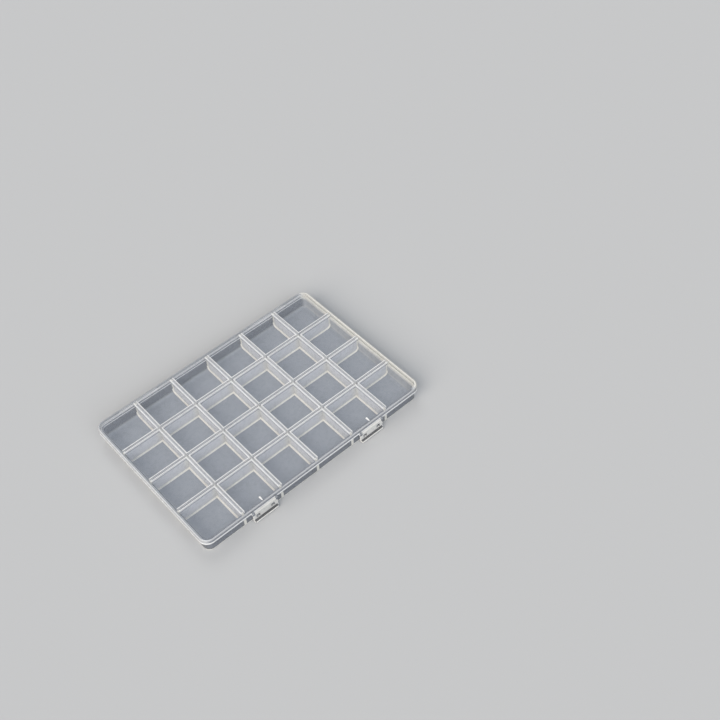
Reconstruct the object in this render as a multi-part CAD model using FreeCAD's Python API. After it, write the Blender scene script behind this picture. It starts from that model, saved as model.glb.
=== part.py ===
# Flat clear compartment box: a tray moulded with a fixed grid of cells, a hinged lid and two snap clasps.
# Frame: origin at the centre of the tray's underside, +X along the length, -Y is the clasp side,
# +Y is the hinge side, +Z is up. Lengths are in millimetres and the box is modelled closed.
import FreeCAD, Part
import math
import os

# Cell grid: the dividers stand at equal pitches about the centre, so the cells beside the walls are
# a little narrower than the inner ones
columns = 6
rows = 4
pitch_x = 31.2
pitch_y = 32.0
divider_thickness = 1.2
divider_height = 13.1

# Tray shell
tray_length = 186.0
tray_width = 126.5
rim_height = 12.0
tray_wall = 1.3
floor_thickness = 1.2
tray_corner_radius = 5.0
floor_fillet = 3.0
tray_edge_round = 0.9

# Lid: a plate with a flared skirt that drops over the tray's rim
lid_gap = 0.45
lid_wall = 1.3
lid_plate = 1.1
lid_plate_gap = 0.3
skirt_height = 4.2
skirt_flare = 0.3
lid_edge_round = 1.0

# Ribs under the lid, one on each side of every divider
rib_depth = 0.8
rib_thickness = 0.8
rib_gap = 0.25
rib_end_gap = 1.15
rib_end_round = 0.35

# Clearance between parts that move past each other
part_gap = 0.3
side_gap = 0.25

# Two hinges at the back: a rod on the lid snaps into a long hook on the tray
hinge_offset = 58.4
hinge_length = 31.0
rod_radius = 0.95
running_gap = 0.05
hook_wall = 1.0
hinge_ear_radius = 1.4
hinge_ear_thickness = 1.6
hinge_drop = 0.6
mouth_start_angle = 15.0
mouth_end_angle = 110.0

# Two clasps at the front, pivoted on ears below the lid's skirt
clasp_offset = 47.0
clasp_width = 20.0
clasp_plate = 1.1
clasp_bottom = 1.0
clasp_corner_round = 1.0
barrel_length = 17.4
barrel_radius = 1.15
pin_radius = 0.7
pin_length = 1.3
clasp_ear_radius = 1.5
clasp_ear_thickness = 1.6
clasp_drop = 1.1
lip_reach = 1.7
lip_thickness = 1.0
lip_corner_round = 1.4

# The catch: a ridge on the tray's front wall, with the clasp's hook under it
catch_level = 6.0
catch_length = 10.0
catch_flat = 0.7
catch_slope = 1.1
hook_gap = 0.2
hook_length = 8.4
hook_flat = 0.6
hook_slope = 1.2

# Windows through the clasp, one on each side of its hook
window_offset = 6.1
window_width = 2.2
window_height = 3.2
window_level = 5.2

# Gate nubs on the lid's top face, one behind each clasp
nub_inset = 1.1
nub_length = 3.0
nub_head_radius = 0.75
nub_tail_radius = 0.3

# One overrun serves every cut, and edges are found to within one reach
overrun = 1.0
match_reach = 0.001

# Places worked out from the sizes above
half_length = tray_length / 2
half_width = tray_width / 2
plate_underside = divider_height + lid_plate_gap
lid_top = plate_underside + lid_plate
skirt_bottom = lid_top - skirt_height
knuckle_radius = rod_radius + running_gap + hook_wall
hinge_y = half_width + part_gap + hinge_ear_radius
hinge_z = skirt_bottom - hinge_drop
clasp_y = -(half_width + part_gap + clasp_ear_radius)
clasp_z = skirt_bottom - clasp_drop
clasp_outer_y = clasp_y - clasp_plate / 2
clasp_inner_y = clasp_y + clasp_plate / 2
catch_reach = -half_width - clasp_inner_y - part_gap


def sides():
    # The two mirrored places of a paired feature
    return (-1, 1)


def box_between(low, high):
    # A box from its lowest corner to its highest one
    size = [high[i] - low[i] for i in range(3)]
    return Part.makeBox(size[0], size[1], size[2], FreeCAD.Vector(low[0], low[1], low[2]))


def fused(shapes):
    # One solid from several that overlap
    first = shapes[0]
    return first.multiFuse(shapes[1:]).removeSplitter()


def rounded_outline(length, width, radius, level):
    # A closed rectangle with round corners, in the plane at this level
    x = length / 2
    y = width / 2
    bend = radius * (1 - math.cos(math.pi / 4))
    corners = ((1, 1), (-1, 1), (-1, -1), (1, -1))
    edges = []
    ends = []
    for index, (sx, sy) in enumerate(corners):
        along_x = FreeCAD.Vector(sx * (x - radius), sy * y, level)
        along_y = FreeCAD.Vector(sx * x, sy * (y - radius), level)
        middle = FreeCAD.Vector(sx * (x - bend), sy * (y - bend), level)
        first, last = (along_y, along_x) if index % 2 == 0 else (along_x, along_y)
        ends.append((first, last))
        edges.append(Part.Arc(first, middle, last).toShape())
    for index in range(len(corners)):
        start = ends[index][1]
        stop = ends[(index + 1) % len(corners)][0]
        edges.append(Part.LineSegment(start, stop).toShape())
    return Part.Wire(Part.__sortEdges__(edges))


def rounded_prism(length, width, radius, low, high):
    # The same outline drawn up from one level to another
    face = Part.Face(rounded_outline(length, width, radius, low))
    return face.extrude(FreeCAD.Vector(0, 0, high - low))


def edges_at_level(shape, level):
    # The edges that lie flat at one level
    flat = []
    for edge in shape.Edges:
        box = edge.BoundBox
        if abs(box.ZMin - level) < match_reach and box.ZLength < match_reach:
            flat.append(edge)
    return flat


def profile_along_x(points, x_low, x_high):
    # A flat outline of (y, z) points drawn out along X
    corners = [FreeCAD.Vector(x_low, y, z) for y, z in points]
    face = Part.Face(Part.makePolygon(corners + corners[:1]))
    return face.extrude(FreeCAD.Vector(x_high - x_low, 0, 0))


def rod_along_x(radius, x_low, x_high, y, z):
    # A round bar along X
    start = FreeCAD.Vector(x_low, y, z)
    return Part.makeCylinder(radius, x_high - x_low, start, FreeCAD.Vector(1, 0, 0))


def divider_places(count, pitch):
    # Where the dividers between this many cells stand, about the centre
    return [(index - count / 2) * pitch for index in range(1, count)]


def tray_shell():
    # The open box with its rounded corners, bottom edge and inner floor fillet
    outer = rounded_prism(tray_length, tray_width, tray_corner_radius, 0, rim_height)
    outer = outer.makeFillet(tray_edge_round, edges_at_level(outer, 0))
    inner_length = tray_length - 2 * tray_wall
    inner_width = tray_width - 2 * tray_wall
    inner_radius = tray_corner_radius - tray_wall
    high = rim_height + overrun
    inner = rounded_prism(inner_length, inner_width, inner_radius, floor_thickness, high)
    inner = inner.makeFillet(floor_fillet, edges_at_level(inner, floor_thickness))
    return outer.cut(inner)


def tray_dividers():
    # The full-length and cross partitions, standing from the floor and running over the rim to the
    # walls' outer faces, so that each cell is closed off from the next inside the lid's skirt
    reach_x = half_length
    reach_y = half_width
    half = divider_thickness / 2
    base = floor_thickness / 2
    walls = []
    for x in divider_places(columns, pitch_x):
        walls.append(box_between((x - half, -reach_y, base), (x + half, reach_y, divider_height)))
    for y in divider_places(rows, pitch_y):
        walls.append(box_between((-reach_x, y - half, base), (reach_x, y + half, divider_height)))
    return walls


def hinge_hook(centre_x):
    # A long hook on the tray's back wall that grips the lid's rod, open upwards and to the back
    low = centre_x - hinge_length / 2
    high = centre_x + hinge_length / 2
    root_y = half_width - tray_wall / 2
    block = box_between((low, root_y, hinge_z - knuckle_radius), (high, hinge_y, hinge_z + knuckle_radius))
    knuckle = rod_along_x(knuckle_radius, low, high, hinge_y, hinge_z)
    bore = rod_along_x(rod_radius + running_gap, low - overrun, high + overrun, hinge_y, hinge_z)
    mouth = [(hinge_y, hinge_z)]
    for angle in (mouth_start_angle, mouth_end_angle):
        turn = math.radians(angle)
        reach = 2 * knuckle_radius
        mouth.append((hinge_y + reach * math.cos(turn), hinge_z + reach * math.sin(turn)))
    opening = profile_along_x(mouth, low - overrun, high + overrun)
    return block.fuse(knuckle).cut(bore).cut(opening)


def catch_ridge(centre_x):
    # The ridge on the front wall that the clasp's hook snaps under
    root_y = -half_width + tray_wall / 2
    face_y = -half_width
    nose_y = face_y - catch_reach
    nose_top = catch_level + catch_flat
    points = [
        (root_y, catch_level),
        (nose_y, catch_level),
        (nose_y, nose_top),
        (face_y, nose_top + catch_slope),
        (root_y, nose_top + catch_slope),
    ]
    return profile_along_x(points, centre_x - catch_length / 2, centre_x + catch_length / 2)


def make_tray():
    # The tray in one moulding: shell, dividers, hinge hooks and catch ridges
    pieces = [tray_shell()] + tray_dividers()
    for side in sides():
        pieces.append(hinge_hook(side * hinge_offset))
        pieces.append(catch_ridge(side * clasp_offset))
    return fused(pieces)


def lid_outline(inset, level):
    # The lid's outline at a level, this far inside its outer face; the skirt flares downwards
    flare = skirt_flare * (lid_top - level) / skirt_height
    grow = lid_gap + lid_wall + flare - inset
    return rounded_outline(tray_length + 2 * grow, tray_width + 2 * grow, tray_corner_radius + grow, level)


def lid_shell():
    # The plate and its flared skirt
    outer = Part.makeLoft([lid_outline(0, skirt_bottom), lid_outline(0, lid_top)], True, True)
    outer = outer.makeFillet(lid_edge_round, edges_at_level(outer, lid_top))
    low = skirt_bottom - overrun
    inner = Part.makeLoft([lid_outline(lid_wall, low), lid_outline(lid_wall, plate_underside)], True, True)
    return outer.cut(inner)


def rib_strips():
    # The bands of rib, one over each divider, before the channels are cut along them
    half = divider_thickness / 2 + rib_gap + rib_thickness
    reach_x = half_length + lid_gap - rib_end_gap
    reach_y = half_width + lid_gap - rib_end_gap
    low = plate_underside - rib_depth
    high = plate_underside + lid_plate / 2
    strips = []
    for x in divider_places(columns, pitch_x):
        strips.append(box_between((x - half, -reach_y, low), (x + half, reach_y, high)))
    for y in divider_places(rows, pitch_y):
        strips.append(box_between((-reach_x, y - half, low), (reach_x, y + half, high)))
    return strips


def rib_channels():
    # The slots between the ribs that the divider tops stand in
    half = divider_thickness / 2 + rib_gap
    reach_x = half_length + lid_gap
    reach_y = half_width + lid_gap
    low = plate_underside - rib_depth - overrun
    channels = []
    for x in divider_places(columns, pitch_x):
        channels.append(box_between((x - half, -reach_y, low), (x + half, reach_y, plate_underside)))
    for y in divider_places(rows, pitch_y):
        channels.append(box_between((-reach_x, y - half, low), (reach_x, y + half, plate_underside)))
    return channels


def rib_end_edges(ribs):
    # The upright corner edges at the free ends of the ribs
    reach_x = half_length + lid_gap - rib_end_gap
    reach_y = half_width + lid_gap - rib_end_gap
    found = []
    for edge in ribs.Edges:
        box = edge.BoundBox
        upright = box.XLength < match_reach and box.YLength < match_reach
        at_side = abs(abs(box.XMin) - reach_x) < match_reach
        at_front_or_back = abs(abs(box.YMin) - reach_y) < match_reach
        if upright and (at_side or at_front_or_back):
            found.append(edge)
    return found


def lid_ribs():
    # Paired ribs that straddle every divider, with rounded free ends
    ribs = fused(rib_strips())
    for channel in rib_channels():
        ribs = ribs.cut(channel)
    low = (-tray_length, -tray_width, plate_underside - rib_depth)
    hanging = ribs.common(box_between(low, (tray_length, tray_width, plate_underside)))
    return hanging.makeFillet(rib_end_round, rib_end_edges(hanging))


def hinge_ear(low):
    # An ear below the back skirt that carries one end of the hinge rod
    high = low + hinge_ear_thickness
    disc = rod_along_x(hinge_ear_radius, low, high, hinge_y, hinge_z)
    top = hinge_z + knuckle_radius + part_gap
    outer_y = half_width + lid_gap + lid_wall
    points = [
        (hinge_y - hinge_ear_radius, hinge_z),
        (hinge_y + hinge_ear_radius, hinge_z),
        (outer_y, top),
        (hinge_y - hinge_ear_radius, top),
    ]
    return disc.fuse(profile_along_x(points, low, high))


def lid_hinge(centre_x):
    # One hinge of the lid: the rod and the two ears that hold it
    inside = hinge_length / 2 + side_gap
    outside = inside + hinge_ear_thickness
    rod = rod_along_x(rod_radius, centre_x - outside, centre_x + outside, hinge_y, hinge_z)
    return [hinge_ear(centre_x - outside), hinge_ear(centre_x + inside), rod]


def hinge_notch(centre_x):
    # The cut in the back skirt that leaves room for the tray's hook
    inside = hinge_length / 2 + side_gap
    top = hinge_z + knuckle_radius + part_gap
    low = (centre_x - inside, half_width, skirt_bottom - overrun)
    return box_between(low, (centre_x + inside, hinge_y + overrun, top))


def clasp_ear(low):
    # An ear below the front skirt, bored for one of the clasp's pins
    high = low + clasp_ear_thickness
    disc = rod_along_x(clasp_ear_radius, low, high, clasp_y, clasp_z)
    top = clasp_z + 2 * clasp_ear_radius
    outer_y = -(half_width + lid_gap + lid_wall)
    points = [
        (clasp_y + clasp_ear_radius, clasp_z),
        (clasp_y - clasp_ear_radius, clasp_z),
        (outer_y, top),
        (clasp_y + clasp_ear_radius, top),
    ]
    return disc.fuse(profile_along_x(points, low, high))


def clasp_ears(centre_x):
    # The pair of ears that one clasp hangs between
    inside = barrel_length / 2 + side_gap
    outside = inside + clasp_ear_thickness
    return [clasp_ear(centre_x - outside), clasp_ear(centre_x + inside)]


def clasp_pin_bore(centre_x):
    # The line bore through both ears
    reach = barrel_length / 2 + side_gap + clasp_ear_thickness + overrun
    return rod_along_x(pin_radius + running_gap, centre_x - reach, centre_x + reach, clasp_y, clasp_z)


def clasp_notch(centre_x):
    # The cut in the front skirt above the clasp's barrel
    inside = barrel_length / 2 + side_gap
    top = clasp_z + barrel_radius + part_gap
    low = (centre_x - inside, clasp_y - overrun, skirt_bottom - overrun)
    return box_between(low, (centre_x + inside, -half_width, top))


def gate_nub(centre_x):
    # A teardrop nub lying on the lid's top face, tapering to a blunt tail by the lid's front edge
    tail_y = -(half_width + lid_gap + lid_wall) + nub_inset
    head = FreeCAD.Vector(centre_x, tail_y + nub_length, lid_top)
    taper = Part.makeCone(nub_head_radius, nub_tail_radius, nub_length, head, FreeCAD.Vector(0, -1, 0))
    return [Part.makeSphere(nub_head_radius, head), taper]


def make_lid():
    # The lid in one moulding: shell, ribs, hinge rods and clasp ears
    shell = lid_shell()
    for side in sides():
        shell = shell.cut(hinge_notch(side * hinge_offset))
        shell = shell.cut(clasp_notch(side * clasp_offset))
    pieces = [shell, lid_ribs()]
    for side in sides():
        pieces.extend(lid_hinge(side * hinge_offset))
        pieces.extend(clasp_ears(side * clasp_offset))
        pieces.extend(gate_nub(side * clasp_offset))
    lid = fused(pieces)
    for side in sides():
        lid = lid.cut(clasp_pin_bore(side * clasp_offset))
    return lid


def clasp_body(centre_x):
    # The clasp's plate: narrow between the ears, full width below them
    neck = barrel_length / 2
    half = clasp_width / 2
    shoulder = clasp_z - clasp_ear_radius - part_gap
    low = (centre_x - neck, clasp_outer_y, shoulder - clasp_corner_round)
    upper = box_between(low, (centre_x + neck, clasp_inner_y, clasp_z))
    low = (centre_x - half, clasp_outer_y, clasp_bottom)
    lower = box_between(low, (centre_x + half, clasp_inner_y, shoulder))
    corners = []
    for edge in lower.Edges:
        box = edge.BoundBox
        across_plate = box.XLength < match_reach and box.ZLength < match_reach
        if across_plate and abs(box.ZMin - shoulder) < match_reach:
            corners.append(edge)
    lower = lower.makeFillet(clasp_corner_round, corners)
    return [upper, lower]


def clasp_lip(centre_x):
    # The finger lip along the clasp's lower edge, with rounded outer corners
    half = clasp_width / 2
    low = (centre_x - half, clasp_outer_y - lip_reach, clasp_bottom)
    lip = box_between(low, (centre_x + half, clasp_inner_y, clasp_bottom + lip_thickness))
    corners = []
    for edge in lip.Edges:
        box = edge.BoundBox
        upright = box.XLength < match_reach and box.YLength < match_reach
        if upright and abs(box.YMin - low[1]) < match_reach:
            corners.append(edge)
    return lip.makeFillet(lip_corner_round, corners)


def clasp_hook(centre_x):
    # The wedge on the clasp's inner face that sits under the tray's ridge
    top = catch_level - hook_gap
    root_y = clasp_inner_y - clasp_plate / 2
    nose_y = clasp_inner_y + catch_reach
    nose_low = top - hook_flat
    points = [
        (root_y, top),
        (nose_y, top),
        (nose_y, nose_low),
        (clasp_inner_y, nose_low - hook_slope),
        (root_y, nose_low - hook_slope),
    ]
    return profile_along_x(points, centre_x - hook_length / 2, centre_x + hook_length / 2)


def clasp_window(centre_x):
    # An upright slot with round ends through the clasp's plate
    radius = window_width / 2
    half_rise = window_height / 2 - radius
    start_y = clasp_outer_y - overrun
    depth = clasp_plate + 2 * overrun
    low = (centre_x - radius, start_y, window_level - half_rise)
    middle = box_between(low, (centre_x + radius, start_y + depth, window_level + half_rise))
    ends = []
    for side in sides():
        centre = FreeCAD.Vector(centre_x, start_y, window_level + side * half_rise)
        ends.append(Part.makeCylinder(radius, depth, centre, FreeCAD.Vector(0, 1, 0)))
    return middle.multiFuse(ends)


def make_clasp(centre_x):
    # One clasp: barrel with its two pins, plate, lip and hook
    neck = barrel_length / 2
    barrel = rod_along_x(barrel_radius, centre_x - neck, centre_x + neck, clasp_y, clasp_z)
    reach = neck + side_gap + pin_length
    pins = rod_along_x(pin_radius, centre_x - reach, centre_x + reach, clasp_y, clasp_z)
    clasp = fused([barrel, pins] + clasp_body(centre_x) + [clasp_lip(centre_x), clasp_hook(centre_x)])
    for side in sides():
        clasp = clasp.cut(clasp_window(centre_x + side * window_offset))
    return clasp


def write_part(name, shape):
    # One named sub-part to its own file
    print(name, "solids", len(shape.Solids), "valid", shape.isValid(), "volume", round(shape.Volume, 1))
    shape.exportStep("parts/" + name + ".step")


os.makedirs("parts", exist_ok=True)
write_part("tray", make_tray())
write_part("lid", make_lid())
write_part("clasp_left", make_clasp(-clasp_offset))
write_part("clasp_right", make_clasp(clasp_offset))
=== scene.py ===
import math

import bpy
from mathutils import Euler, Matrix, Vector


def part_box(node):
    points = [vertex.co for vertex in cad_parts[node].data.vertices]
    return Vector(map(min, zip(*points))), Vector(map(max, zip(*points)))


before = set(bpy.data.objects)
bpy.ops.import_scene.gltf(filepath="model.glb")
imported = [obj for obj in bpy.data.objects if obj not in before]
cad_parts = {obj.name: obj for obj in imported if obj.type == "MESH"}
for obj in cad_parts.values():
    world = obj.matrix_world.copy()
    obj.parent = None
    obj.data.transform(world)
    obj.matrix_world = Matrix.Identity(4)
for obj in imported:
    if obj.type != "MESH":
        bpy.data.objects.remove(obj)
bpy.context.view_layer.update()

MM = 0.001

# Sizes of the box that its finish follows, in metres, and read from the frame where it shows them
PITCH_X = 31.2 * MM
PITCH_Y = 32.0 * MM
LAST_DIVIDER_X = 2 * PITCH_X
LAST_DIVIDER_Y = PITCH_Y
DIVIDER = 1.2 * MM
FLOOR_THICKNESS = 1.2 * MM
FLOOR_FILLET = 3.0 * MM
WALL = 1.3 * MM
RIM_HEIGHT = 12.0 * MM
TRAY_LENGTH = 186.0 * MM
TRAY_WIDTH = 126.5 * MM
TRAY_CORNER = 5.0 * MM
LID_PLATE = 1.1 * MM
LID_GAP = 0.45 * MM
SKIRT_HEIGHT = 4.2 * MM
NUB_RISE = 0.75 * MM
CLASP_OFFSET = 47.0 * MM
CLASP_WIDTH = 20.0 * MM
LIP_THICKNESS = 1.0 * MM
WINDOW_OFFSET = 6.1 * MM
WINDOW_LEVEL = 5.2 * MM
DIVIDER_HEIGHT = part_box("tray")[1].z
LID_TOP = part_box("lid")[1].z - NUB_RISE
PLATE_UNDERSIDE = LID_TOP - LID_PLATE
SKIRT_BOTTOM = LID_TOP - SKIRT_HEIGHT
LID_OVERHANG = LID_GAP + WALL

# Lines and bands of the finish, most of them painted highlight lines and bands of painted light, laid out
# from these sizes, and the blur at their edges
BLUR = 0.12 * MM
JOINT_REACH = 0.8 * DIVIDER
TOP_LINE = 0.3 * MM
RIM_LINE_WIDTH = 0.3 * MM
OUTER_LINE_HEIGHT = 0.4 * MM
INNER_LINE_HEIGHT = 0.7 * MM
BACK_LINE_HEIGHT = 1.2 * MM
BASE_LINE_HEIGHT = 1.2 * MM
BASE_LINE_DEPTH = 0.9 * MM
FOOT_RISE = 0.6 * MM
FOOT_REACH = DIVIDER / 2 + 1.0 * MM
PARTITION_END = 0.7 * MM
END_BAND = 6.0 * MM
END_WALL_FADE = (0.72 * RIM_HEIGHT, 0.97 * RIM_HEIGHT)
CROSSING_FADE = (5.0 * MM, 1.5 * MM)
RIB_LINE_PLACE = 1.18 * MM
RIB_LINE = 0.64 * MM
RIB_END_INSET = WALL + 1.1 * MM
PLATE_EDGE_LINE = 0.4 * MM
SKIRT_MARGIN = 0.3 * MM
SKIRT_LINE = 1.3 * MM
LEDGE_LOW = RIM_HEIGHT - 0.6 * MM
LEDGE_HIGH = RIM_HEIGHT + 0.8 * MM
NUB_FOOT = 0.15 * MM
CLASP_LINE_DEPTH = 0.2 * MM
CLASP_LINE_WIDTH = 0.3 * MM
LIP_BAND = LIP_THICKNESS + 0.7 * MM
WINDOW_HALF_WIDTH = 1.4 * MM
WINDOW_HALF_HEIGHT = 1.2 * MM

# Where a face turns upright by its normal's z, and where it turns to an end by its normal's x
UPRIGHT_FADE = (0.7, 0.4)
TURNED_FADE = (0.2, 0.9)

# The photograph's camera: angles in degrees, place in metres from the middle of the box's underside
CAMERA_AZIMUTH = -38.916
CAMERA_ELEVATION = 49.536
CAMERA_ROLL = -3.69
CAMERA_PLACE = (-0.23298, -0.40452, 0.59645)
CAMERA_LENS = 52.91
CAMERA_SENSOR = 36.0
CAMERA_NEAR = 0.01

# Colours of the plastic's milky body, and of what its clear faces let through; the white, edge, cream and
# end colours are those of painted highlights and painted light, and the edge colour is also that of the
# parts outside the walls
PLATE_COLOUR = (0.80, 0.86, 0.94)
WALL_COLOUR = (0.90, 0.92, 0.94)
PARTITION_COLOUR = (0.885, 0.89, 0.92)
WHITE_HIGHLIGHT_COLOUR = (0.94, 0.94, 0.94)
EDGE_COLOUR = (0.87, 0.875, 0.88)
CREAM_HIGHLIGHT_COLOUR = (0.84, 0.825, 0.775)
CROSSING_COLOUR = (0.92, 0.91, 0.88)
END_LIGHT_COLOUR = (0.88, 0.865, 0.82)
CLASP_COLOUR = (0.94, 0.935, 0.91)
LID_CLEAR = (1.0, 1.0, 1.0)
BODY_CLEAR = (0.66, 0.675, 0.715)
WALL_CLEAR = (0.43, 0.45, 0.50)
PARTITION_CLEAR = (0.93, 0.935, 0.95)

# How much of the light each kind of face holds back; the right wall, end and face hazes, and those of the
# rim, rib, joint, plate edge, edge and foot highlights, are raised to paint light and highlights there,
# and the joint haze is also that of the parts outside the walls
FLOOR_PLATE_HAZE = 0.28
LID_PLATE_HAZE = 0.04
WALL_HAZE = 0.13
RIGHT_WALL_LIGHT_HAZE = 3 * WALL_HAZE
RIGHT_END_LIGHT_HAZE = 0.88
RIGHT_FACE_LIGHT_HAZE = 0.55
LEFT_FACE_LIGHT_HAZE = 0.50
RIM_HIGHLIGHT_HAZE = 1.0
RIM_TOP_HAZE = 0.15
PARTITION_HAZE = 0.60
LONG_TOP_HAZE = 0.18
CROSS_TOP_HAZE = 0.52
RIB_HIGHLIGHT_HAZE = 0.78
JOINT_HAZE = 0.85
PLATE_EDGE_HAZE = 0.38
EDGE_HIGHLIGHT_HAZE = 0.97
FOOT_AND_NUB_HIGHLIGHT_HAZE = 1.0
CLASP_HAZE = 0.75

# How the body glows through and shines, and how its haze, gloss and surface vary from place to place
THROUGH_SHARE = 0.15
GLOSS_SHARE = 0.3
GLOSS_BLEND = 0.25
PLASTIC_IOR = 1.49
TRAY_ROUGHNESS = 0.30
LID_ROUGHNESS = 0.26
CLASP_ROUGHNESS = 0.28
ROUGHNESS_CHANGE = 0.06
ROUGHNESS_NOISE_RANGE = (0.25, 0.75)
HAZE_NOISE_RANGE = (0.3, 0.7)
CLOUD_SCALE = 38.0
CLOUD_DETAIL = 3.0
CLOUD_CHANGE = 0.06
FINE_SCALE = 420.0
FINE_DETAIL = 2.0
FINE_CHANGE = 0.04
BUMP_STRENGTH = 0.12
BUMP_DISTANCE = 0.2 * MM

# Floor, backdrop and light, with each lamp's place, spread in degrees, strength and colour
STAGE_SIZE = 6
STAGE_COLOUR = (0.52, 0.53, 0.545)
STAGE_ROUGHNESS = 0.9
BACKDROP_COLOUR = (0.575, 0.58, 0.582)
SKY_COLOUR = (0.95, 0.975, 1.0)
SKY_LIGHT = 0.33
LAMPS = {
    "left_key": ((-1.15, -0.35, 0.85), 48, 2.60, (1.0, 0.93, 0.845)),
    "front_fill": ((-0.20, -1.15, 0.80), 48, 1.16, (0.88, 0.94, 1.0)),
    "back_sheen": ((0.35, 0.85, 1.20), 40, 0.50, (1.0, 1.0, 1.0)),
}

# Clear faces that a ray may pass: a low view through the closed box meets dozens
CLEAR_FACES = 64


class Shader:
    """The node tree of a material or a world, with short calls for the nodes that it needs."""

    def __init__(self, owner):
        self.owner = owner
        owner.use_nodes = True
        self.tree = owner.node_tree
        self.tree.nodes.clear()

    def put(self, socket, value):
        """Links a socket to another one, or gives it a number or a colour."""
        if isinstance(value, bpy.types.NodeSocket):
            self.tree.links.new(value, socket)
        elif isinstance(value, tuple) and socket.type == "RGBA":
            socket.default_value = (*value, 1)
        else:
            socket.default_value = value

    def add(self, kind, inputs=None, **settings):
        """Adds a node with these settings, and with these inputs by name or number."""
        node = self.tree.nodes.new(kind)
        for key, value in settings.items():
            setattr(node, key, value)
        for key, value in (inputs or {}).items():
            self.put(node.inputs[key], value)
        return node

    def surface(self, kind, inputs):
        return self.add(kind, inputs).outputs[0]

    def mix(self, share, first, second):
        """A surface that goes from first to second with the share."""
        return self.surface("ShaderNodeMixShader", {0: share, 1: first, 2: second})

    def split(self, vector):
        """The three parts of a vector."""
        return self.add("ShaderNodeSeparateXYZ", {0: vector}).outputs

    def noise(self, vector, scale, detail):
        inputs = {"Vector": vector, "Scale": scale, "Detail": detail}
        return self.add("ShaderNodeTexNoise", inputs).outputs["Fac"]

    def math(self, operation, *values):
        inputs = dict(enumerate(values))
        return self.add("ShaderNodeMath", inputs, operation=operation).outputs[0]

    def distance(self, value, centre):
        return self.math("ABSOLUTE", self.math("SUBTRACT", value, centre))

    def opposite(self, mask):
        return self.math("SUBTRACT", 1.0, mask)

    def step(self, value, start, stop, low=0.0, high=1.0):
        """A soft step of value, from low at start to high at stop."""
        inputs = dict(enumerate((value, start, stop, low, high)))
        return self.add("ShaderNodeMapRange", inputs, interpolation_type="SMOOTHSTEP").outputs[0]

    def below(self, value, limit):
        """One where value is under the limit, and nothing a little above it."""
        return self.step(value, limit + BLUR, limit)

    def above(self, value, limit):
        """One where value is over the limit, and nothing a little below it."""
        return self.step(value, limit - BLUR, limit)

    def between(self, value, low, high):
        return self.both(self.above(value, low), self.below(value, high))

    def both(self, *masks):
        result = masks[0]
        for mask in masks[1:]:
            result = self.math("MULTIPLY", result, mask)
        return result

    def either(self, *masks):
        result = masks[0]
        for mask in masks[1:]:
            result = self.math("MAXIMUM", result, mask)
        return result

    def blend(self, mask, first, second):
        """A number that goes from first to second with the mask."""
        change = self.math("SUBTRACT", second, first)
        return self.math("MULTIPLY_ADD", mask, change, first)

    def tint(self, mask, first, second):
        """A colour that goes from first to second with the mask."""
        node = self.add("ShaderNodeMix", {"Factor": mask}, data_type="RGBA")
        colours = [socket for socket in node.inputs if socket.type == "RGBA"]
        for socket, item in zip(colours, (first, second)):
            self.put(socket, item)
        return [socket for socket in node.outputs if socket.type == "RGBA"][0]

    def lay(self, join, result, *layers):
        """Lays values over the first one in turn, each where its mask is, by blend or tint."""
        for mask, value in layers:
            result = join(mask, result, value)
        return result

    def vary(self, haze, noise, change):
        """Moves the haze up and down with the noise, by this share of it."""
        factor = self.step(noise, *HAZE_NOISE_RANGE, 1 - change, 1 + change)
        return self.math("MULTIPLY", haze, factor)


class Place:
    """Where a shaded point lies on the closed box, as sockets of one shader."""

    def __init__(self, shader):
        self.shader = shader
        coordinates = shader.add("ShaderNodeTexCoord")
        self.point = coordinates.outputs["Object"]
        self.x, self.y, self.z = shader.split(self.point)
        facing = shader.split(coordinates.outputs["Normal"])
        self.upright = shader.step(shader.math("ABSOLUTE", facing["Z"]), *UPRIGHT_FADE)
        turned = shader.step(shader.math("ABSOLUTE", facing["X"]), *TURNED_FADE)
        turned = shader.either(turned, shader.opposite(self.upright))
        # Faces near either end that turn towards it: the finish paints the left lamp's light on them
        end = TRAY_LENGTH / 2
        self.by_right_end = shader.both(shader.step(self.x, end - END_BAND, end - WALL), turned)
        self.by_left_end = shader.both(shader.step(self.x, END_BAND - end, WALL - end), turned)
        # The back half, where the finish paints a wider highlight on the rim's inner edge
        self.by_back = shader.step(self.y, -TRAY_WIDTH / 4, TRAY_WIDTH / 4)
        self.across_x = self.across(self.x, PITCH_X, LAST_DIVIDER_X)
        self.across_y = self.across(self.y, PITCH_Y, LAST_DIVIDER_Y)
        self.to_divider = shader.math("MINIMUM", self.across_x, self.across_y)

    def across(self, value, pitch, last):
        """Distance from the middle of the nearest of the dividers that cross this axis."""
        shader = self.shader
        within = shader.math("PINGPONG", value, pitch / 2)
        beyond = shader.math("SUBTRACT", shader.math("ABSOLUTE", value), last)
        return shader.math("MAXIMUM", within, beyond)

    def inset(self, length, width, radius):
        """Distance inside a rectangle with round corners, negative outside it."""
        shader = self.shader
        over = []
        for value, size in ((self.x, length), (self.y, width)):
            away = shader.math("ABSOLUTE", value)
            over.append(shader.math("SUBTRACT", away, size / 2 - radius))
        squares = []
        for value in over:
            positive = shader.math("MAXIMUM", value, 0.0)
            squares.append(shader.math("MULTIPLY", positive, positive))
        corner = shader.math("SQRT", shader.math("ADD", *squares))
        within = shader.math("MINIMUM", shader.math("MAXIMUM", *over), 0.0)
        return shader.math("SUBTRACT", radius, shader.math("ADD", corner, within))

    def floor_level(self, inset):
        """Height of the tray's inner floor at this inset, with its rise along the fillet by the walls."""
        shader = self.shader
        to_flat = shader.math("MAXIMUM", shader.math("SUBTRACT", WALL + FLOOR_FILLET, inset), 0.0)
        to_flat = shader.math("MINIMUM", to_flat, FLOOR_FILLET)
        square = shader.math("MULTIPLY", to_flat, to_flat)
        depth = shader.math("SQRT", shader.math("SUBTRACT", FLOOR_FILLET ** 2, square))
        return shader.math("SUBTRACT", FLOOR_THICKNESS + FLOOR_FILLET, depth)


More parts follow.
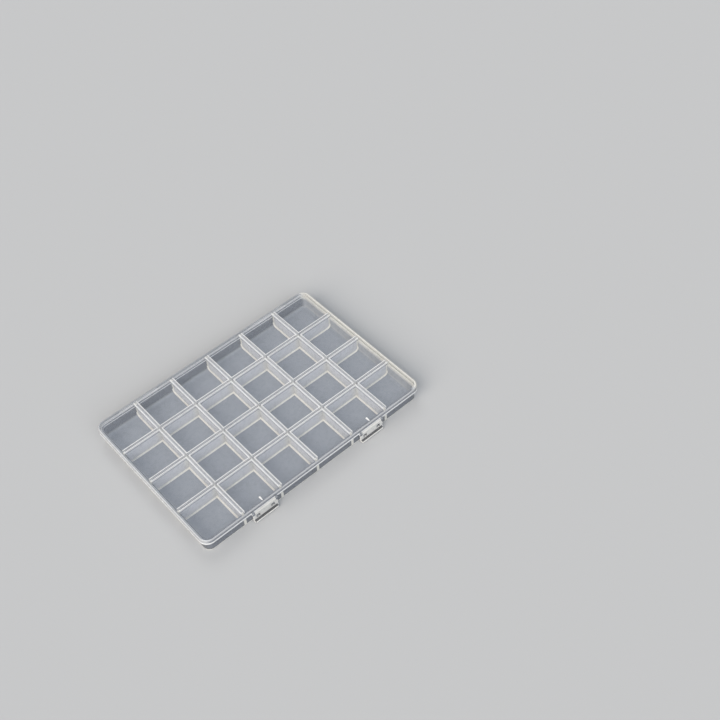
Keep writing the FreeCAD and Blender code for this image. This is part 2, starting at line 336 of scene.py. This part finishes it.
class TrayParts:
    """Masks of the tray's kinds of face."""

    def __init__(self, shader, place):
        self.inset = place.inset(TRAY_LENGTH, TRAY_WIDTH, TRAY_CORNER)
        self.find_walls(shader, place)
        self.find_rim(shader, place)
        self.find_partitions(shader, place)
        self.find_feet(shader, place)

    def find_walls(self, shader, place):
        """The walls, what stands out from them, the painted highlights where partitions meet them and
        along the base, and the painted light high on the right end's wall.
        """
        self.wall = shader.between(self.inset, -BLUR, WALL + BLUR)
        self.outside = shader.below(self.inset, -2 * BLUR)
        # Painted highlight where partitions meet the walls
        self.joint_highlight = shader.both(self.wall, shader.below(place.to_divider, JOINT_REACH))
        # Painted light high on the right end's wall, where the left lamp falls
        high_up = shader.step(place.z, *END_WALL_FADE)
        self.right_wall_light = shader.both(self.wall, place.by_right_end, high_up)
        # Painted highlight line along the base
        low_down = shader.below(place.z, BASE_LINE_HEIGHT)
        self.base = shader.both(low_down, shader.below(self.inset, BASE_LINE_DEPTH))

    def find_rim(self, shader, place):
        """The rim's flat top, and the painted highlight lines along its outer and inner edges, wider on
        the inner edge at the back.
        """
        by_outer_face = shader.below(self.inset, RIM_LINE_WIDTH)
        by_inner_face = shader.above(self.inset, WALL - RIM_LINE_WIDTH)
        outer_line = shader.above(place.z, RIM_HEIGHT - OUTER_LINE_HEIGHT)
        inner_line = shader.above(place.z, RIM_HEIGHT - INNER_LINE_HEIGHT)
        back_highlight = shader.both(place.by_back, shader.above(place.z, RIM_HEIGHT - BACK_LINE_HEIGHT))
        self.rim_top = shader.both(self.wall, shader.above(place.z, RIM_HEIGHT - 2 * BLUR))
        self.rim_outer_highlight = shader.both(self.wall, by_outer_face, outer_line)
        self.rim_inner_highlight = shader.both(self.wall, by_inner_face, shader.either(inner_line, back_highlight))

    def find_partitions(self, shader, place):
        """The partitions, their tops, and the stretches round their crossings."""
        inside = shader.above(self.inset, WALL + BLUR)
        by_divider = shader.below(place.to_divider, DIVIDER / 2)
        self.partition = shader.both(inside, by_divider, shader.above(place.z, FLOOR_THICKNESS))
        self.top = shader.above(place.z, DIVIDER_HEIGHT - TOP_LINE)
        self.cross_top = shader.below(place.across_x, DIVIDER / 2)
        to_crossing = shader.math("MAXIMUM", place.across_x, place.across_y)
        self.crossing = shader.step(to_crossing, *CROSSING_FADE)

    def find_feet(self, shader, place):
        """The painted highlight line along the foot of every partition, and up its ends by the walls."""
        from_floor = shader.distance(place.z, place.floor_level(self.inset))
        near_floor = shader.below(from_floor, FOOT_RISE)
        near_divider = shader.below(place.to_divider, FOOT_REACH)
        along = shader.both(near_floor, near_divider, shader.above(self.inset, WALL))
        up_the_end = shader.both(self.partition, shader.below(self.inset, WALL + PARTITION_END))
        self.foot = shader.either(along, up_the_end)


class LidParts:
    """Masks of the lid's kinds of face."""

    def __init__(self, shader, place):
        length = TRAY_LENGTH + 2 * LID_OVERHANG
        width = TRAY_WIDTH + 2 * LID_OVERHANG
        self.inset = place.inset(length, width, TRAY_CORNER + LID_OVERHANG)
        self.find_plate(shader, place)
        self.find_skirt(shader, place)

    def find_plate(self, shader, place):
        """The painted highlight lines over the ribs under the plate, the painted highlight along the
        plate's edge, and the painted highlight on the nubs on it.
        """
        from_line = shader.distance(place.to_divider, RIB_LINE_PLACE)
        over_ribs = shader.above(self.inset, RIB_END_INSET)
        self.rib = shader.both(over_ribs, shader.below(from_line, RIB_LINE / 2))
        at_plate = shader.above(place.z, PLATE_UNDERSIDE)
        self.plate_edge_highlight = shader.both(shader.below(self.inset, PLATE_EDGE_LINE), at_plate)
        self.nub = shader.above(place.z, LID_TOP + NUB_FOOT)

    def find_skirt(self, shader, place):
        """The painted highlight lines along the skirt's lower edge and inner ledge, and the painted light
        on its faces by the ends.
        """
        skirt = shader.between(self.inset, -2 * BLUR, WALL + SKIRT_MARGIN)
        inside = shader.both(skirt, shader.above(self.inset, WALL / 2))
        outside = shader.both(skirt, shader.below(self.inset, WALL / 2))
        lower_edge = shader.both(skirt, shader.below(place.z, SKIRT_BOTTOM + SKIRT_LINE))
        ledge = shader.both(inside, shader.between(place.z, LEDGE_LOW, LEDGE_HIGH))
        self.skirt_highlight = shader.either(lower_edge, ledge)
        # Painted light on the skirt's faces by the ends, where the left lamp falls
        self.right_end = shader.both(inside, place.by_right_end)
        self.right_face_light = shader.both(outside, place.by_right_end)
        self.left_face_light = shader.both(outside, place.by_left_end)


def milky_body(shader, cloud, fine, colour, roughness, through):
    """The plastic's milky part: a colour that partly glows through, under a soft and uneven gloss."""
    uneven = (roughness - ROUGHNESS_CHANGE, roughness + ROUGHNESS_CHANGE)
    bump = {"Strength": BUMP_STRENGTH, "Distance": BUMP_DISTANCE, "Height": cloud}
    surface = shader.surface("ShaderNodeBsdfPrincipled", {
        "Base Color": colour,
        "Roughness": shader.step(fine, *ROUGHNESS_NOISE_RANGE, *uneven),
        "IOR": PLASTIC_IOR,
        "Normal": shader.add("ShaderNodeBump", bump).outputs["Normal"],
    })
    glow = shader.surface("ShaderNodeBsdfTranslucent", {"Color": colour})
    return shader.mix(through, surface, glow)


def finish_plastic(shader, place, haze, colour, clear_colour, roughness, through=THROUGH_SHARE):
    """Clear polypropylene: a pale body seen by its haze, under a soft gloss that grows towards grazing."""
    cloud = shader.noise(place.point, CLOUD_SCALE, CLOUD_DETAIL)
    fine = shader.noise(place.point, FINE_SCALE, FINE_DETAIL)
    haze = shader.vary(haze, cloud, CLOUD_CHANGE)
    haze = shader.vary(haze, fine, FINE_CHANGE)
    weight = shader.add("ShaderNodeLayerWeight", {"Blend": GLOSS_BLEND})
    gloss = shader.math("MULTIPLY", weight.outputs["Fresnel"], GLOSS_SHARE)
    passed = shader.math("MULTIPLY", shader.opposite(haze), shader.opposite(gloss))
    clear = shader.surface("ShaderNodeBsdfTransparent", {"Color": clear_colour})
    body = milky_body(shader, cloud, fine, colour, roughness, through)
    whole = shader.mix(shader.opposite(passed), clear, body)
    shader.add("ShaderNodeOutputMaterial", {"Surface": whole})
    return shader.owner


def tray_plastic():
    """The tray: milky partitions between clear grey walls, with painted highlight lines at the partitions'
    feet and on the edges, and painted light on the right end.
    """
    shader = Shader(bpy.data.materials.new("tray_plastic"))
    place = Place(shader)
    parts = TrayParts(shader, place)
    # Haze, raised to paint light on the right end's walls and highlights on the rim's edges, the base, the
    # partitions' feet and where they meet the walls
    haze = shader.lay(
        shader.blend,
        FLOOR_PLATE_HAZE,
        (place.upright, shader.blend(place.by_right_end, WALL_HAZE, RIGHT_WALL_LIGHT_HAZE)),
        (parts.rim_inner_highlight, RIM_HIGHLIGHT_HAZE),
        (parts.rim_top, RIM_TOP_HAZE),
        (parts.right_wall_light, RIGHT_END_LIGHT_HAZE),
        (parts.partition, PARTITION_HAZE),
        (parts.top, shader.blend(parts.cross_top, LONG_TOP_HAZE, CROSS_TOP_HAZE)),
        (shader.either(parts.rim_outer_highlight, parts.base), EDGE_HIGHLIGHT_HAZE),
        (shader.either(parts.joint_highlight, parts.outside), JOINT_HAZE),
        (parts.foot, FOOT_AND_NUB_HIGHLIGHT_HAZE),
    )
    # Colour, with the pale and cream colours of those painted highlights and of the painted light
    colour = shader.lay(
        shader.tint,
        PLATE_COLOUR,
        (place.upright, WALL_COLOUR),
        (parts.partition, shader.tint(parts.crossing, PARTITION_COLOUR, CROSSING_COLOUR)),
        (shader.either(parts.rim_outer_highlight, parts.rim_inner_highlight, parts.outside), EDGE_COLOUR),
        (shader.either(parts.foot, parts.joint_highlight, parts.right_wall_light, parts.base), CREAM_HIGHLIGHT_COLOUR),
    )
    clear_colour = shader.lay(
        shader.tint,
        BODY_CLEAR,
        (place.upright, WALL_CLEAR),
        (shader.both(parts.partition, shader.opposite(parts.top)), PARTITION_CLEAR),
    )
    # No glow-through on the feet, which makes their painted highlight brighter
    through = shader.blend(parts.foot, THROUGH_SHARE, 0.0)
    return finish_plastic(shader, place, haze, colour, clear_colour, TRAY_ROUGHNESS, through)


def lid_plastic():
    """The lid: a clear plate that shows its paired ribs as painted highlight lines, with painted
    highlights on its edge, skirt and nubs, and painted light on its ends.
    """
    shader = Shader(bpy.data.materials.new("lid_plastic"))
    place = Place(shader)
    parts = LidParts(shader, place)
    # Haze, raised to paint highlights on the ribs, plate edge, skirt and nubs, and light on the faces by
    # the ends
    haze = shader.lay(
        shader.blend,
        LID_PLATE_HAZE,
        (place.upright, WALL_HAZE),
        (parts.rib, RIB_HIGHLIGHT_HAZE),
        (parts.plate_edge_highlight, PLATE_EDGE_HAZE),
        (parts.right_end, RIGHT_END_LIGHT_HAZE),
        (parts.left_face_light, LEFT_FACE_LIGHT_HAZE),
        (parts.right_face_light, RIGHT_FACE_LIGHT_HAZE),
        (parts.skirt_highlight, EDGE_HIGHLIGHT_HAZE),
        (parts.nub, FOOT_AND_NUB_HIGHLIGHT_HAZE),
    )
    # Colour, with the white, pale and end colours of those painted highlights and painted light
    colour = shader.lay(
        shader.tint,
        PLATE_COLOUR,
        (place.upright, WALL_COLOUR),
        (shader.either(parts.rib, parts.nub), WHITE_HIGHLIGHT_COLOUR),
        (shader.either(parts.plate_edge_highlight, parts.skirt_highlight), EDGE_COLOUR),
        (shader.either(parts.right_end, parts.right_face_light), END_LIGHT_COLOUR),
    )
    clear_colour = shader.tint(place.upright, LID_CLEAR, WALL_CLEAR)
    return finish_plastic(shader, place, haze, colour, clear_colour, LID_ROUGHNESS)


def clasp_plastic():
    """A clasp: a milky plate with two clear windows, over a clear lip, with a painted highlight line along
    its front and sides.
    """
    shader = Shader(bpy.data.materials.new("clasp_plastic"))
    place = Place(shader)
    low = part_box("clasp_left")[0]
    from_middle = shader.distance(shader.math("ABSOLUTE", place.x), CLASP_OFFSET)
    to_side = shader.math("SUBTRACT", CLASP_WIDTH / 2, from_middle)
    # Painted highlight line along the clasp's front and sides
    front_line = shader.below(place.y, low.y + CLASP_LINE_DEPTH)
    outline = shader.either(front_line, shader.below(to_side, CLASP_LINE_WIDTH))
    lip = shader.below(place.z, low.z + LIP_BAND)
    by_window = shader.below(shader.distance(from_middle, WINDOW_OFFSET), WINDOW_HALF_WIDTH)
    at_window = shader.below(shader.distance(place.z, WINDOW_LEVEL), WINDOW_HALF_HEIGHT)
    clear_part = shader.either(lip, shader.both(by_window, at_window))
    haze = shader.lay(shader.blend, CLASP_HAZE, (clear_part, WALL_HAZE), (outline, EDGE_HIGHLIGHT_HAZE))
    return finish_plastic(shader, place, haze, CLASP_COLOUR, WALL_CLEAR, CLASP_ROUGHNESS)


def dress(node, material):
    """Gives one CAD node its finish."""
    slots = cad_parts[node].data.materials
    slots.clear()
    slots.append(material)


def make_floor():
    """A plain pale floor under the box, without any gloss."""
    bpy.ops.mesh.primitive_plane_add(size=STAGE_SIZE, location=(0, 0, 0))
    floor = bpy.context.object
    floor.name = "floor"
    shader = Shader(bpy.data.materials.new("floor_paint"))
    paint = shader.surface("ShaderNodeBsdfPrincipled", {
        "Base Color": STAGE_COLOUR,
        "Roughness": STAGE_ROUGHNESS,
        "Specular IOR Level": 0.0,
    })
    shader.add("ShaderNodeOutputMaterial", {"Surface": paint})
    floor.data.materials.append(shader.owner)


def make_world():
    """Even soft light, with a backdrop in the lit floor's shade where the camera or a reflection looks."""
    world = bpy.data.worlds.new("studio")
    bpy.context.scene.world = world
    shader = Shader(world)
    light = shader.surface("ShaderNodeBackground", {"Color": SKY_COLOUR, "Strength": SKY_LIGHT})
    backdrop = shader.surface("ShaderNodeBackground", {"Color": BACKDROP_COLOUR, "Strength": 1.0})
    path = shader.add("ShaderNodeLightPath").outputs
    rays = [path[name] for name in ("Is Camera Ray", "Is Glossy Ray", "Is Transmission Ray")]
    whole = shader.mix(shader.either(*rays), light, backdrop)
    shader.add("ShaderNodeOutputWorld", {"Surface": whole})


def soft_light(name, place, spread, strength, colour):
    """An even soft light from this side over the whole floor, with its spread in degrees."""
    data = bpy.data.lights.new(name, "SUN")
    data.angle = math.radians(spread)
    data.energy = strength
    data.color = colour
    lamp = bpy.data.objects.new(name, data)
    lamp.location = place
    lamp.rotation_euler = Vector(place).to_track_quat("Z", "Y").to_euler()
    bpy.context.scene.collection.objects.link(lamp)


def make_camera():
    """The photograph's view of the left box."""
    data = bpy.data.cameras.new("camera")
    data.lens = CAMERA_LENS
    data.sensor_width = CAMERA_SENSOR
    data.clip_start = CAMERA_NEAR
    camera = bpy.data.objects.new("camera", data)
    tilt = Euler((math.radians(90 - CAMERA_ELEVATION), 0, math.radians(CAMERA_AZIMUTH)))
    roll = Matrix.Rotation(math.radians(CAMERA_ROLL), 4, "Z")
    camera.matrix_world = Matrix.Translation(CAMERA_PLACE) @ tilt.to_matrix().to_4x4() @ roll
    bpy.context.scene.collection.objects.link(camera)
    bpy.context.scene.camera = camera


dress("tray", tray_plastic())
dress("lid", lid_plastic())
clasp_finish = clasp_plastic()
for side in ("left", "right"):
    dress("clasp_" + side, clasp_finish)

make_floor()
make_world()
for name, settings in LAMPS.items():
    soft_light(name, *settings)
make_camera()

scene = bpy.context.scene
scene.view_settings.view_transform = "Standard"
scene.cycles.transparent_max_bounces = CLEAR_FACES
